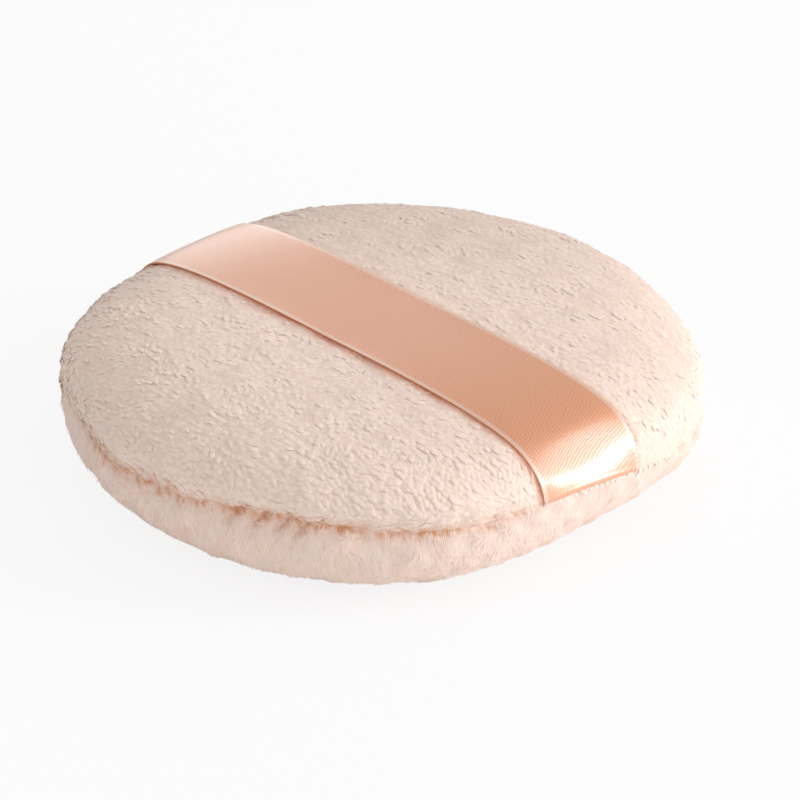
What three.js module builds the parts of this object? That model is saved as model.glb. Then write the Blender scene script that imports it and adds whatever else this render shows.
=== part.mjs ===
// Round powder puff: two velour discs sewn together round a foam core, with a satin ribbon for the fingers.
// Millimetres, +Z up. The puff lies on its plush side and the origin is the middle of that face.
// The ribbon runs along X, from the seam on one side over the crown to the seam on the other.
import * as THREE from "three";

// Pad
const puffRadius = 40; // widest point of the rim, above and below the seam
const grooveDepth = 1.8; // how far the seam draws the rim in, all round
const seamHeight = 11; // middle of the seam
const crownHeight = 20; // top of the upper cover
const restRadius = 24; // flat patch that the puff lies on
const crownFlatness = 4.7; // superellipse power along the radius: higher keeps the crown flat for longer
const crownRoundness = 2.1; // superellipse power along the height: higher fills out the shoulder
const lowerRoundness = 2.2; // the same for the edge of the plush side

// Covers: the thickness counts the backing and its pile
const velourThickness = 2; // short pile on the upper side
const plushThickness = 2.6; // longer pile on the lower side
const hemThickness = 0.9; // each cover where the stitching crushes its pile
const seamAllowance = 5; // hem turned inside, from the seam to its cut edge
const hemFillet = 0.6; // how far the wall leans in before it meets the hem
const bulgeReach = 0.9; // from the hem's inner face to the widest point of the rim

// Ribbon and threads
const ribbonWidth = 15.9; // five eighths of an inch
const ribbonThickness = 0.35;
const ribbonOffset = -2; // the ribbon was sewn a little to one side of the middle
const threadDiameter = 0.4;
const seamLineInset = 1.2; // from the bottom of the groove in to the stitching
const stitchLength = 3.4;
const stitchSway = 0.35; // how far the machine stitches wander from their line
const closingStitchLength = 2.8;
const closingDepth = 0.65; // where the closing stitches lie in the groove: 0 at its bottom, 1 at its mouth
const closingFrom = 265; // degrees round from +X: the gap that the puff was turned through, sewn up by hand
const closingTo = 307;

// How the sewing draws the pad out of round
const ribbonPull = 1.5; // the ribbon draws the seam in by this at each of its ends
const lowerPull = 4.5; // and the foot of the lower cover by this much more
const pullSpread = 21.4; // half width of the stretch of rim that it draws in
const ribbonSlope = 61; // degrees: the taut ribbon presses the shoulder under its ends to a straight slope
const slopeFoot = 1.4; // where that slope starts, out from the bottom of the groove
const slopeSpread = 13.5; // half width of the pressed stretch
const slopeRounding = 0.5; // how softly the slope runs into the crown
const seamWave = 0.7; // the seam rises and falls by this
const seamWaves = 6;
const seamWavePeak = 295; // degrees round from +X of one crest
const seamDrift = 1; // slower rise and fall on top of the wave, twice round
const seamDriftPeak = 303;
const gatherDepth = 0.45; // folds that the stitching gathers into the rim
const gathers = 16;
const gatherHeight = 3; // how far above and below the seam a gather reaches

const clearance = 0.3; // between pieces that lie against each other
const turnSteps = 64; // facets round the pad
const threadSides = 5;
const ribbonSteps = 8; // facets across the ribbon

// Places that follow from the sizes above
const seamRadius = puffRadius - grooveDepth; // bottom of the groove
const hemGap = Math.max(ribbonThickness, threadDiameter) + 2 * clearance;
const upperHemFace = seamHeight + hemGap / 2;
const lowerHemFace = seamHeight - hemGap / 2;
const upperBulge = upperHemFace + hemThickness + bulgeReach;
const lowerBulge = lowerHemFace - hemThickness - bulgeReach;
const hemEdge = seamRadius - seamAllowance;
const ribbonStandOff = clearance + ribbonThickness / 2; // from the pad to the middle of the ribbon

const finish = (color, roughness) => new THREE.MeshStandardMaterial({ color, roughness, metalness: 0 });
const velour = finish(0xe3c8ba, 0.95);
const plush = finish(0xe6cdbf, 0.98);
const satin = finish(0xdaab92, 0.35);
const foam = finish(0xf3ead9, 0.95);
const thread = finish(0xd59a70, 0.7);

const point = (radius, height) => new THREE.Vector2(radius, height);
const radians = THREE.MathUtils.degToRad;

// Points at equal turns of a quarter of a superellipse, from (width, 0) to (0, rise)
function quarterCurve(width, rise, widthPower, risePower, steps) {
  return Array.from({ length: steps + 1 }, (_, step) => {
    const turn = (Math.PI / 2) * (step / steps);
    return point(width * Math.cos(turn) ** (2 / widthPower), rise * Math.sin(turn) ** (2 / risePower));
  }).map((p, step) => (step === steps ? point(0, rise) : p));
}

// The upper wall at a depth below its pile, from the widest point of the rim to the crown
function crownWall(depth, steps) {
  const rise = crownHeight - upperBulge - depth;
  const wall = quarterCurve(puffRadius - depth, rise, crownFlatness, crownRoundness, steps);
  return wall.map((p) => point(p.x, upperBulge + p.y));
}

// The lower wall at a depth above its pile, from the widest point of the rim to the middle of the flat patch
function plushWall(depth, steps) {
  const edge = quarterCurve(puffRadius - restRadius - depth, lowerBulge - depth, lowerRoundness, lowerRoundness, steps);
  return [...edge.map((p) => point(restRadius + p.x, lowerBulge - p.y)), point(0, depth)];
}

// The rim from its widest point in to the bottom of the groove, above (rise > 0) or below the seam
function tuck(bulge, hemFace, steps) {
  const curve = quarterCurve(grooveDepth, hemFace - bulge, 2, 2, steps);
  return curve.map((p) => point(seamRadius + p.x, bulge + p.y));
}

// The hem turned inside: out along one face, round its cut edge and back to where the wall starts
function hem(hemFace, innerFace, wallRadius) {
  return [point(hemEdge, hemFace), point(hemEdge, innerFace), point(wallRadius - hemFillet, innerFace)];
}

// Radius of the upper cover's outside at a height, from the bottom of the groove to the crown
function wallRadius(height) {
  if (height < upperBulge) {
    const under = Math.min(1, (upperBulge - height) / (upperBulge - seamHeight));
    return seamRadius + grooveDepth * Math.sqrt(1 - under ** 2);
  }
  const share = Math.min(1, (height - upperBulge) / (crownHeight - upperBulge));
  return puffRadius * (1 - share ** crownRoundness) ** (1 / crownFlatness);
}

// How far the ribbon presses the shoulder in at a height
function shoulderPress(height) {
  if (height <= seamHeight) return 0;
  const slope = seamRadius + slopeFoot - (height - seamHeight) / Math.tan(radians(ribbonSlope));
  const over = wallRadius(height) - slope;
  const aboveTail = Math.min(1, (height - seamHeight) / (hemGap / 2));
  return (aboveTail * (over + Math.hypot(over, slopeRounding))) / 2;
}

// How the stitching draws a point of the round pad into its sewn shape. Every piece is drawn by it alike,
// so that pieces that fit in the round pad still fit in the sewn one.
function drawIn(p) {
  const turn = Math.atan2(p.y, p.x);
  const radius = Math.hypot(p.x, p.y);
  const nearRim = (radius / puffRadius) ** 8;
  const nearSeam = Math.exp(-(((p.z - seamHeight) / gatherHeight) ** 2));
  const byRibbon = Math.exp(-((p.y / pullSpread) ** 2));

  const wave = seamWave * Math.cos(seamWaves * (turn - radians(seamWavePeak)));
  const drift = seamDrift * Math.cos(2 * (turn - radians(seamDriftPeak)));
  const gather = (gatherDepth * (1 + Math.cos(gathers * turn))) / 2;
  const inward = radius > 0 ? (gather * nearRim * nearSeam * (1 - byRibbon)) / radius : 0;
  const underSeam = Math.max(0, 1 - p.z / seamHeight);
  const pull = (ribbonPull + lowerPull * underSeam) * byRibbon * (p.x / puffRadius) ** 3;
  const underRibbon = Math.exp(-(((p.y - ribbonOffset) / slopeSpread) ** 2));
  const press = shoulderPress(p.z) * underRibbon * (p.x / puffRadius) ** 2 * Math.sign(p.x);
  const rise = (wave + drift) * nearRim * nearSeam;
  return p.set(p.x * (1 - inward) - pull - press, p.y * (1 - inward), p.z + rise);
}

// Moves every corner of a geometry by a rule
function moved(geometry, rule) {
  const place = geometry.getAttribute("position");
  const corner = new THREE.Vector3();
  for (let i = 0; i < place.count; i++) {
    rule(corner.fromBufferAttribute(place, i));
    place.setXYZ(i, corner.x, corner.y, corner.z);
  }
  return geometry;
}

// Takes a geometry that is laid out in the round pad's frame into the sewn pad
const sewn = (geometry) => moved(geometry, drawIn);

// A turned piece, from a profile that runs from the axis to the axis
function turned(profile) {
  return sewn(new THREE.LatheGeometry(profile, turnSteps).rotateX(Math.PI / 2));
}

function upperCover() {
  const innerFace = upperHemFace + hemThickness;
  return turned([
    ...crownWall(velourThickness, 6).reverse(),
    ...hem(upperHemFace, innerFace, puffRadius - velourThickness).reverse(),
    ...tuck(upperBulge, upperHemFace, 3).reverse(),
    ...crownWall(0, 9).slice(1),
  ]);
}

function lowerCover() {
  const innerFace = lowerHemFace - hemThickness;
  return turned([
    ...plushWall(0, 8).reverse(),
    ...tuck(lowerBulge, lowerHemFace, 3).slice(1),
    ...hem(lowerHemFace, innerFace, puffRadius - plushThickness),
    ...plushWall(plushThickness, 6),
  ]);
}

// The foam fills both covers, and its rim is split where the two hems press into it
function foamCore() {
  const slotTop = upperHemFace + hemThickness + clearance;
  const slotBottom = lowerHemFace - hemThickness - clearance;
  const slotEdge = hemEdge - clearance;
  const upperDepth = velourThickness + clearance;
  const lowerDepth = plushThickness + clearance;
  return turned([
    ...plushWall(lowerDepth, 7).reverse(),
    point(puffRadius - lowerDepth - hemFillet, slotBottom),
    point(slotEdge, slotBottom),
    point(slotEdge, slotTop),
    point(puffRadius - upperDepth - hemFillet, slotTop),
    ...crownWall(upperDepth, 7),
  ]);
}

// The ribbon lies straight over the crown, and its ends bend round the rim that they are sewn to
function roundRim(p) {
  const reach = puffRadius + ribbonStandOff + ribbonThickness / 2;
  const bend = (p.y / reach) ** 2 * (p.x / reach) ** 4;
  return p.setX(p.x * Math.sqrt(1 - bend));
}

// A strip of ribbon whose middle line is a list of points in the XZ plane
function strip(line) {
  const side = (reach) =>
    line.map((p, i) => {
      const along = line[Math.min(i + 1, line.length - 1)].clone().sub(line[Math.max(i - 1, 0)]).normalize();
      return point(p.x - along.y * reach, p.y + along.x * reach);
    });
  const outline = new THREE.Shape([...side(ribbonThickness / 2), ...side(-ribbonThickness / 2).reverse()]);
  const geometry = new THREE.ExtrudeGeometry(outline, { depth: ribbonWidth, steps: ribbonSteps, bevelEnabled: false });
  geometry.rotateX(Math.PI / 2).translate(0, ribbonOffset + ribbonWidth / 2, 0);
  return sewn(moved(geometry, roundRim));
}

// The middle line of the ribbon over the crown, from the widest point of one rim to that of the other
function ribbonBand() {
  const half = crownWall(-ribbonStandOff, 12);
  half[0].y += clearance; // its cut from the tail
  const mirrored = half.slice(0, -1).map((p) => point(-p.x, p.y));
  return strip([...half, ...mirrored.reverse()]);
}

// The end of the ribbon: from the widest point of the rim round into the groove and in between the two hems
function ribbonTail(side) {
  const bend = quarterCurve(grooveDepth + ribbonStandOff, seamHeight - upperBulge, 2, 2, 5);
  const line = [...bend.map((p) => point(seamRadius + p.x, upperBulge + p.y)), point(hemEdge, seamHeight)];
  return strip(side > 0 ? line.reverse() : line.map((p) => point(-p.x, p.y)));
}

// A run of stitches along the seam between two turns in degrees, swaying in and out and up and down
class StitchRun extends THREE.Curve {
  constructor(from, to, radius, length, sway, zigzag) {
    super();
    Object.assign(this, { from: radians(from), span: radians(to - from), radius, sway, zigzag });
    this.stitches = Math.max(1, Math.round((this.span * radius) / length));
  }

  getPoint(share) {
    const turn = this.from + this.span * share;
    const phase = Math.PI * this.stitches * share;
    const radius = this.radius + this.sway * Math.sin(phase);
    const height = seamHeight + this.zigzag * Math.sin(phase);
    return new THREE.Vector3(radius * Math.cos(turn), radius * Math.sin(turn), height);
  }
}

function threadAlong(run) {
  const section = new THREE.Shape(
    Array.from({ length: threadSides }, (_, side) => {
      const turn = (2 * Math.PI * side) / threadSides;
      return point((threadDiameter / 2) * Math.cos(turn), (threadDiameter / 2) * Math.sin(turn));
    }),
  );
  return sewn(new THREE.ExtrudeGeometry(section, { extrudePath: run, steps: 4 * run.stitches, bevelEnabled: false }));
}

// The machine's stitches lie between the hems, and stop clear of the ribbon's tail and of the closed gap
const seamLine = seamRadius - seamLineInset;
const clearOfTail = clearance + threadDiameter;
const tailEdge = (edge) => THREE.MathUtils.radToDeg(Math.asin((edge + Math.sign(edge) * clearOfTail) / seamLine));
const tailFar = tailEdge(ribbonOffset + ribbonWidth / 2);
const tailNear = tailEdge(ribbonOffset - ribbonWidth / 2);
const clearOfGap = THREE.MathUtils.radToDeg((2 * threadDiameter) / seamLine);

function machineStitches(from, to) {
  return threadAlong(new StitchRun(from, to, seamLine, stitchLength, stitchSway, 0));
}

// The closing stitches lie in the mouth of the groove and go to and fro between the two covers
function closingStitches() {
  const reach = grooveDepth * closingDepth;
  const opening = (upperBulge - upperHemFace) * (1 - Math.sqrt(1 - closingDepth ** 2));
  const zigzag = hemGap / 2 + opening - threadDiameter / 2 - clearance;
  return threadAlong(new StitchRun(closingFrom, closingTo, seamRadius + reach, closingStitchLength, 0, zigzag));
}

const puff = new THREE.Group();
function add(name, geometry, material) {
  const mesh = new THREE.Mesh(geometry, material);
  mesh.name = name;
  puff.add(mesh);
}

add("upper_cover", upperCover(), velour);
add("lower_cover", lowerCover(), plush);
add("foam_core", foamCore(), foam);
add("ribbon_band", ribbonBand(), satin);
add("ribbon_tail_right", ribbonTail(1), satin);
add("ribbon_tail_left", ribbonTail(-1), satin);
add("seam_thread_back", machineStitches(tailFar, 180 - tailFar), thread);
add("seam_thread_left", machineStitches(180 - tailNear, closingFrom - clearOfGap), thread);
add("seam_thread_right", machineStitches(closingTo + clearOfGap, 360 + tailNear), thread);
add("closing_thread", closingStitches(), thread);

export default puff;
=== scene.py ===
import math

import bpy
import numpy as np
from mathutils import Matrix, Vector


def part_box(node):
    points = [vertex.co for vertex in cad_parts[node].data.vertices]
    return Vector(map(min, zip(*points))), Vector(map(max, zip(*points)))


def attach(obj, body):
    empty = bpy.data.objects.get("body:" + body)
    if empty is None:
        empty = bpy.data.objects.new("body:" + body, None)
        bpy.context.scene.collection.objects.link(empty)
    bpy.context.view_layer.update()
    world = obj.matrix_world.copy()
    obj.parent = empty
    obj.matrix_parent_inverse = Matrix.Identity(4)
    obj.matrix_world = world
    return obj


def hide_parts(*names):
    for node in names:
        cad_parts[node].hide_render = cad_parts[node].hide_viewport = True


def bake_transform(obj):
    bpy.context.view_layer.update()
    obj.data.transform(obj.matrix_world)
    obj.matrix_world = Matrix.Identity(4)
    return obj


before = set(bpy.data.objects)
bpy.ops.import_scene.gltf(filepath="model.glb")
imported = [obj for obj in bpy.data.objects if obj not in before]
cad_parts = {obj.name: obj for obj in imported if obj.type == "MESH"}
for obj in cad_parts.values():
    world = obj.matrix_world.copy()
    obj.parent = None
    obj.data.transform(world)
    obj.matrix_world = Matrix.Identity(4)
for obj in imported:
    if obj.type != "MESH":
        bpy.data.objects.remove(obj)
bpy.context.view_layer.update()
mm = 0.001  # sizes below are in millimetres, meshes in metres
print("frame loaded:", len(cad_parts), "nodes")


# The sewn pad's form, which every soft piece follows

pad = {
    "rim": 40.0,            # widest radius, above and below the seam
    "groove": 1.8,          # the seam draws the rim in by this
    "seamHeight": 11.0,
    "crown": 20.0,          # top of the velour's pile
    "rest": 24.0,           # radius of the flat patch underneath
    "crownFlatness": 4.7,   # powers of the rounded edges
    "crownRoundness": 2.1,
    "lowerRoundness": 2.2,
    "hem": 0.9,             # thickness of a hem
    "hemWidth": 5.0,        # how far a hem goes in from the seam
    "hemGap": 1.0,          # between the two hems
    "bulge": 1.8,           # from a hem's face to the widest point of the rim
    "crease": 0.5,          # depth of the groove that the pile leaves open
    "lip": 3.0,             # power of its lips, which are squarer than the cloth's
    "lipGap": -0.3,         # the lips press into each other at the seam
    "ribbonPull": 1.5,      # the ribbon draws the seam in at its two ends
    "lowerPull": 4.5,       # and the foot of the plush side by this much more
    "pullSpread": 21.4,
    "slopeLow": 0.36,       # the shoulder under the ribbon lies back by this share of its rise at the seam
    "slopeBend": 0.06,      # and by more for every mm above it
    "slopeFoot": 1.8,
    "slopeSpread": 13.5,
    "slopeRounding": 1.4,   # the cloth bends more softly than the solids
    "ribbonMiddle": -2.0,
    "ribbonHalf": 7.95,
    "endLift": 1.3,         # the ribbon's near end holds the seam up
    "endLiftTurn": 352.0,
    "endLiftSpread": 34.0,
    "endLiftHeight": 7.0,
    "farPull": 0.4,         # the far end is drawn in a little more
    "wave": 0.7,            # the seam rises and falls
    "waves": 6,
    "wavePeak": 295.0,
    "drift": 1.0,
    "driftPeak": 303.0,
    "gather": 0.45,         # shallow folds round the rim
    "gathers": 16,
    "gatherHeight": 3.0,
}

pucker = {
    "depth": 0.22,          # small tucks all along the stitching
    "count": 67,
    "reach": 2.8,           # how far from the seam they fade
    # slanting pits that the hand stitches pull into the plush, degrees
    "slits": (290.5, 295.5, 300.0, 303.5),
    "slitDepth": 0.8,
    "slitWidth": 0.5,
    "slitReach": 2.8,       # they run down from the seam by this
    "foldFrom": 236.0,      # a second fine fold in the velour above the seam
    "foldTo": 288.0,
    "foldAt": 1.7,
    "foldWidth": 0.22,
    "openFrom": 234.0,      # the stretch where the pile parts and the crease shows
    "openTo": 346.0,
    "openDepth": 0.35,
    "openReach": 1.1,
    # the rim is not quite round: turn, spread, depth
    "dents": ((203, 15, 0.3), (229, 9, -0.8), (66, 16, 0.7), (34, 15, -0.8)),
}


def smoothStep(low, high, value):
    share = np.clip((value - low) / (high - low), 0.0, 1.0)
    return share * share * (3 - 2 * share)


def bell(away, spread):
    return np.exp(-((away / spread) ** 2))


def between(value, low, high, softLow, softHigh):
    # 1 inside a stretch, with soft ends
    return smoothStep(low, low + softLow, value) * (1 - smoothStep(high - softHigh, high, value))


def turnBell(degrees, at, spread):
    return bell((degrees - at + 180) % 360 - 180, spread)


def openCrease(turn):
    return between(np.degrees(turn) % 360, pucker["openFrom"], pucker["openTo"], 22, 8)


def slitShare(turn, height):
    # 1 in the middle of a pit; each leans to one side as it goes down
    degrees = np.degrees(turn) % 360
    perDegree = math.radians(1) * pad["rim"]
    pits = (bell((degrees - at) * perDegree - height, pucker["slitWidth"]) for at in pucker["slits"])
    return between(height, -pucker["slitReach"], 0.5, 1.2, 0.8) * sum(pits)


def foldShare(turn, fromSeam):
    degrees = np.degrees(turn) % 360
    at = pucker["foldAt"] + 0.3 * np.sin(0.4 * degrees) + 0.2 * np.sin(1.1 * degrees)
    stretch = between(degrees, pucker["foldFrom"], pucker["foldTo"], 10, 8)
    return stretch * bell(fromSeam - at, pucker["foldWidth"])


def gatherDepth(turn, height):
    small = pucker["depth"] * (0.5 + 0.5 * np.sin(pucker["count"] * turn + 1.3 * np.sin(5 * turn)))
    crease = pucker["openDepth"] * openCrease(turn) * bell(height, pucker["openReach"])
    return small * bell(height, pucker["reach"]) + crease + pucker["slitDepth"] * slitShare(turn, height)


def wallRadius(height):
    under = np.clip((upperBulge - height) / (upperBulge - pad["seamHeight"]), 0, 1)
    share = np.clip((height - upperBulge) / (pad["crown"] - upperBulge), 0, 1)
    shoulder = pad["rim"] * (1 - share ** pad["crownRoundness"]) ** (1 / pad["crownFlatness"])
    return np.where(height < upperBulge, seamRadius + pad["groove"] * np.sqrt(1 - under ** 2), shoulder)


def shoulderPress(height):
    # how far the taut ribbon presses the shoulder in
    rise = height - pad["seamHeight"]
    slope = seamRadius + pad["slopeFoot"] - rise * (pad["slopeLow"] + pad["slopeBend"] * rise)
    over = wallRadius(height) - slope
    return np.clip(rise / (pad["hemGap"] / 2), 0, 1) * (over + np.hypot(over, pad["slopeRounding"])) / 2


def drawIn(points):
    # the sewing draws a point of the round pad to its place in the sewn one
    x, y, z = points.T
    turn = np.arctan2(y, x)
    radius = np.hypot(x, y)
    height = z - pad["seamHeight"]
    nearRim = (radius / pad["rim"]) ** 8
    nearSeam = bell(height, pad["gatherHeight"])
    byRibbon = bell(y, pad["pullSpread"])
    wave = pad["wave"] * np.cos(pad["waves"] * (turn - math.radians(pad["wavePeak"])))
    drift = pad["drift"] * np.cos(2 * (turn - math.radians(pad["driftPeak"])))
    gather = pad["gather"] * (1 + np.cos(pad["gathers"] * turn)) / 2 * nearSeam + gatherDepth(turn, height)
    degrees = np.degrees(turn) % 360
    dent = sum(depth * bell(degrees - at, spread) for at, spread, depth in pucker["dents"])
    inward = (gather * (1 - byRibbon) + dent) * nearRim / np.maximum(radius, 1)
    underSeam = np.maximum(0, 1 - z / pad["seamHeight"])
    pull = (pad["ribbonPull"] + pad["lowerPull"] * underSeam) * byRibbon * (x / pad["rim"]) ** 3
    underRibbon = bell(y - pad["ribbonMiddle"], pad["slopeSpread"])
    press = shoulderPress(z) * underRibbon * (x / pad["rim"]) ** 2 * np.sign(x)
    press = press + np.where(x < 0, pad["farPull"], 0) * underRibbon * (x / pad["rim"]) ** 3
    liftHeight = np.where(height > 0, pad["endLiftHeight"], pad["gatherHeight"])
    byEnd = turnBell(degrees, pad["endLiftTurn"], pad["endLiftSpread"])
    rise = ((wave + drift) * nearSeam + pad["endLift"] * byEnd * bell(height, liftHeight)) * nearRim
    return np.stack([x * (1 - inward) - pull - press, y * (1 - inward), z + rise], -1)


upperHem = pad["seamHeight"] + pad["hemGap"] / 2
lowerHem = pad["seamHeight"] - pad["hemGap"] / 2
upperBulge = upperHem + pad["bulge"]
lowerBulge = lowerHem - pad["bulge"]
seamRadius = pad["rim"] - pad["groove"]
hemEdge = seamRadius - pad["hemWidth"]


# Walls of the two covers as (radius, height), from the middle out to the bottom of the groove

def quarterCurve(width, rise, widthPower, risePower, count):
    turn = np.linspace(0, math.pi / 2, count)
    across = width * np.clip(np.cos(turn), 0, 1) ** (2 / widthPower)
    across[-1] = 0
    return np.stack([across, rise * np.sin(turn) ** (2 / risePower)], -1)


def lipCurve(depth, bulge, side, count):
    # from the widest point of the rim into the crease; side is 1 above the seam and -1 below it
    lip = pad["seamHeight"] + side * (pad["lipGap"] + depth * 0.3)
    curve = quarterCurve(pad["crease"], lip - bulge, pad["lip"], pad["lip"], count)
    return curve + [pad["rim"] - depth - pad["crease"], bulge]


def crownWall(depth, count=240):
    radius, rise = pad["rim"] - depth, pad["crown"] - upperBulge - depth
    flatShare = 0.86  # even steps along the radius up to here, and even turns on the shoulder
    flat = np.linspace(0, flatShare, count // 2, endpoint=False)
    height = rise * (1 - flat ** pad["crownFlatness"]) ** (1 / pad["crownRoundness"])
    top = np.stack([flat * radius, height], -1)
    turn = np.linspace(math.acos(flatShare ** (pad["crownFlatness"] / 2)), 0, count // 2)
    edge = np.stack([radius * np.cos(turn) ** (2 / pad["crownFlatness"]),
                     rise * np.sin(turn) ** (2 / pad["crownRoundness"])], -1)
    return np.concatenate([np.concatenate([top, edge[:-1]]) + [0, upperBulge],
                           lipCurve(depth, upperBulge, 1, count // 8)])


def plushWall(depth, count=240):
    edge = quarterCurve(pad["rim"] - pad["rest"] - depth, lowerBulge - depth, pad["lowerRoundness"],
                        pad["lowerRoundness"], count // 2)
    edge = np.stack([pad["rest"] + edge[:, 0], lowerBulge - edge[:, 1]], -1)[::-1]
    flat = np.linspace(0, pad["rest"], count // 3, endpoint=False)
    middle = np.stack([flat, np.full(len(flat), depth)], -1)
    return np.concatenate([middle, edge[:-1], lipCurve(depth, lowerBulge, -1, count // 8)])


def wallLengths(wall):
    return np.concatenate([[0], np.cumsum(np.hypot(*np.diff(wall, axis=0).T))])


def thinned(wall, count):
    lengths = wallLengths(wall)
    at = np.linspace(0, lengths[-1], count)
    return np.stack([np.interp(at, lengths, wall[:, 0]), np.interp(at, lengths, wall[:, 1])], -1)


def onWall(wall, lengths, along, turn):
    radius = np.interp(along, lengths, wall[:, 0])
    height = np.interp(along, lengths, wall[:, 1])
    return drawIn(np.stack([radius * np.cos(turn), radius * np.sin(turn), height], -1))


def unit(vectors):
    return vectors / np.maximum(np.linalg.norm(vectors, axis=1, keepdims=True), 1e-9)


def wallFrame(wall, along, turn, outward):
    # place, outward normal and the direction that runs from the middle to the seam
    lengths = wallLengths(wall)
    step = 0.05
    along = np.clip(along, 2 * step, lengths[-1] - 2 * step)
    place = onWall(wall, lengths, along, turn)
    toSeam = onWall(wall, lengths, along + step, turn) - onWall(wall, lengths, along - step, turn)
    turnStep = step / np.maximum(np.interp(along, lengths, wall[:, 0]), 0.5)
    around = onWall(wall, lengths, along, turn + turnStep) - onWall(wall, lengths, along, turn - turnStep)
    return place, unit(np.cross(around, toSeam) * -outward), unit(toSeam)


def slowNoise(points, scale, seed):
    # smooth patches between -1 and 1, from a few plane waves
    rng = np.random.default_rng(seed)
    total = np.zeros(len(points))
    for i in range(6):
        heading = rng.normal(size=points.shape[1])
        heading = heading / np.linalg.norm(heading) * rng.uniform(0.6, 1.6) / scale
        total += np.sin(points @ heading * 2 * math.pi + rng.uniform(0, 6.28))
    return total / 3.2


def softLumps(points, look):
    # slow unevenness of a soft coat, as a rise along the normal
    slow = slowNoise(points, look["lumpSize"], look["seed"] + 100)
    fine = slowNoise(points, look["lumpSize"] * 0.45, look["seed"] + 101)
    return look["lump"] * (slow + 0.5 * fine)


# Mesh helpers

def newObject(name, data):
    thing = bpy.data.objects.new(name, data)
    bpy.context.scene.collection.objects.link(thing)
    return thing


def meshFrom(name, corners, faces):
    mesh = bpy.data.meshes.new(name)
    mesh.from_pydata((np.asarray(corners) * mm).tolist(), [], faces)
    mesh.polygons.foreach_set("use_smooth", [True] * len(mesh.polygons))
    mesh.update()
    return mesh


def putAttribute(mesh, name, values, domain="POINT"):
    values = np.asarray(values, np.float32)
    kind, field = ("FLOAT_VECTOR", "vector") if values.ndim > 1 else ("FLOAT", "value")
    mesh.attributes.new(name, kind, domain).data.foreach_set(field, values.ravel())


def turnedMesh(name, profile, steps):
    # closed body round the Z axis from a profile that starts and ends on it
    turn = np.arange(steps) * 2 * math.pi / steps
    rings = profile[1:-1]
    body = np.stack([np.outer(rings[:, 0], np.cos(turn)), np.outer(rings[:, 0], np.sin(turn)),
                     np.repeat(rings[:, 1:], steps, axis=1)], -1).reshape(-1, 3)
    ends = np.array([[0, 0, profile[0][1]], [0, 0, profile[-1][1]]])
    first, last = len(body), len(body) + 1
    bottom = len(rings) - 1
    away = wallLengths(profile)
    faces, coat = [], []
    for i in range(steps):
        j = (i + 1) % steps
        here, there, half = i / steps, (i + 1) / steps, (i + 0.5) / steps
        faces.append((first, i, j))
        coat += [(half, away[0]), (here, away[1]), (there, away[1])]
        faces.append((last, bottom * steps + j, bottom * steps + i))
        coat += [(half, away[-1]), (there, away[-2]), (here, away[-2])]
        for k in range(bottom):
            faces.append((k * steps + i, (k + 1) * steps + i, (k + 1) * steps + j, k * steps + j))
            coat += [(here, away[k + 1]), (here, away[k + 2]), (there, away[k + 2]), (there, away[k + 1])]
    mesh = meshFrom(name, drawIn(np.concatenate([body, ends])), faces)
    coat = np.array(coat) * [2 * math.pi * pad["rim"] * mm, mm]
    mesh.uv_layers.new(name="coat").data.foreach_set("uv", coat.astype(np.float32).ravel())
    return mesh


# Node helpers

def fillSockets(tree, node, sockets):
    # an input that is given a socket is linked to it, and any other value is set on it
    for name, value in sockets.items():
        if isinstance(value, bpy.types.NodeSocket):
            tree.links.new(value, node.inputs[name])
        else:
            node.inputs[name].default_value = value
    return node


def addNode(tree, kind, sockets=None, **settings):
    node = tree.nodes.new(kind)
    for setting, value in settings.items():
        setattr(node, setting, value)
    return fillSockets(tree, node, sockets or {})


def maths(tree, operation, *values):
    return addNode(tree, "ShaderNodeMath", dict(enumerate(values)), operation=operation).outputs[0]


def attribute(tree, name):
    return addNode(tree, "ShaderNodeAttribute", attribute_name=name).outputs["Fac"]


def objectCoords(tree):
    return addNode(tree, "ShaderNodeTexCoord").outputs["Object"]


def noise(tree, vector, scale, **more):
    return addNode(tree, "ShaderNodeTexNoise", {"Vector": vector, "Scale": scale, **more}).outputs["Fac"]


def ramp(tree, share, *stops):
    node = addNode(tree, "ShaderNodeValToRGB", {"Fac": share})
    elements = node.color_ramp.elements
    while len(elements) < len(stops):
        elements.new(0.5)
    for element, (position, colour) in zip(elements, stops):
        element.position = position
        element.color = (*colour, 1)
    return node.outputs["Color"]


def mixColours(tree, factor, first, second, blend="MIX"):
    sockets = {"Factor": factor, "A": first, "B": second}
    return addNode(tree, "ShaderNodeMix", sockets, data_type="RGBA", blend_type=blend).outputs["Result"]


def bumped(tree, height, strength, distance):
    sockets = {"Height": height, "Strength": strength, "Distance": distance * mm}
    return addNode(tree, "ShaderNodeBump", sockets).outputs["Normal"]


def mixShaders(tree, factor, first, second):
    return addNode(tree, "ShaderNodeMixShader", {0: factor, 1: first, 2: second}).outputs[0]


def setSurface(tree, shader, output="Material Output"):
    fillSockets(tree, tree.nodes[output], {"Surface": shader})


def newMaterial(name, finish):
    # finish: the plain values of the shader's own sockets
    material = bpy.data.materials.new(name)
    material.use_nodes = True
    tree = material.node_tree
    return material, tree, fillSockets(tree, tree.nodes["Principled BSDF"], finish)


def srgb(red, green, blue):
    return tuple(c / 255 / 12.92 if c / 255 <= 0.04045 else ((c / 255 + 0.055) / 1.055) ** 2.4
                 for c in (red, green, blue))


# Effects that several coats share

coatShade = {
    # painted shade: the seam's crease, pits and fold and the ribbon's edges get this warm colour in place of
    # their shade
    "paintedWarmShade": srgb(214, 150, 108),  # light that has gone through much cloth, deep in the seam
    "base": 0.86,           # brightness of the pile, with what each of the next three adds to it
    "tint": 0.1,
    "patch": 0.1,
    "speckle": 0.08,
    "patchScale": 90,
    "speckleScale": 2600,
}


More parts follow.
